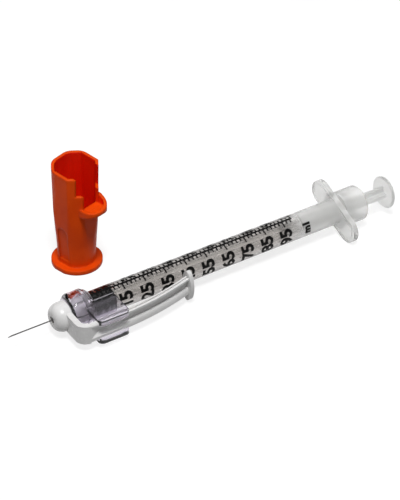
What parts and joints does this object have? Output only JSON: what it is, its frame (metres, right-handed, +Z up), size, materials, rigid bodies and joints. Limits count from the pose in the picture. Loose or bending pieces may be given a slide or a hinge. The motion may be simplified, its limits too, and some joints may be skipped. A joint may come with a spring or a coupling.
{
  "type": "insulin syringe",
  "caption": "One-millilitre insulin syringe with a fixed fine needle, a sliding needle guard on a clear collar, a cross-ribbed plunger, and its needle shield standing beside it.",
  "frame": {"origin": "on the table, below the middle of the box round the syringe and its shield", "axes": "+X along the syringe from the needle to the thumb disc, +Z up; the guard's arm is on the -Y side and the shield on the +Y side"},
  "size_m": [0.1098, 0.0392, 0.0287],
  "materials": {
    "barrel_plastic": "translucent polypropylene with a black printed scale",
    "needle_steel": "polished and siliconised",
    "adhesive": "cured clear epoxy",
    "collar_plastic": "clear, smooth",
    "guard_plastic": "smooth moulded, white",
    "plunger_plastic": "translucent, natural white",
    "stopper_rubber": "smooth, siliconised",
    "shield_plastic": "slightly translucent, satin"
  },
  "bodies": {
    "barrel_body": {"barrel": "barrel_plastic", "needle": "needle_steel", "needle_adhesive": "adhesive", "guard_collar": "collar_plastic"},
    "plunger_body": {"plunger_rod": "plunger_plastic", "stopper": "stopper_rubber"},
    "guard_body": {"needle_guard": "guard_plastic"},
    "shield_body": {"needle_shield": "shield_plastic"}
  },
  "joints": [
    {"name": "plunger_slide", "type": "slide", "parent": "barrel_body", "child": "plunger_body", "axis": [0.9999, 0, 0.0119], "range_m": [0, 0.0577]},
    {"name": "guard_slide", "type": "slide", "parent": "barrel_body", "child": "guard_body", "axis": [-0.9999, 0, -0.0119], "range_m": [0, 0.014]},
    {"name": "shield_lift", "type": "slide", "parent": "barrel_body", "child": "shield_body", "axis": [0, 0, 1], "range_m": [0, 0.06]}
  ]
}
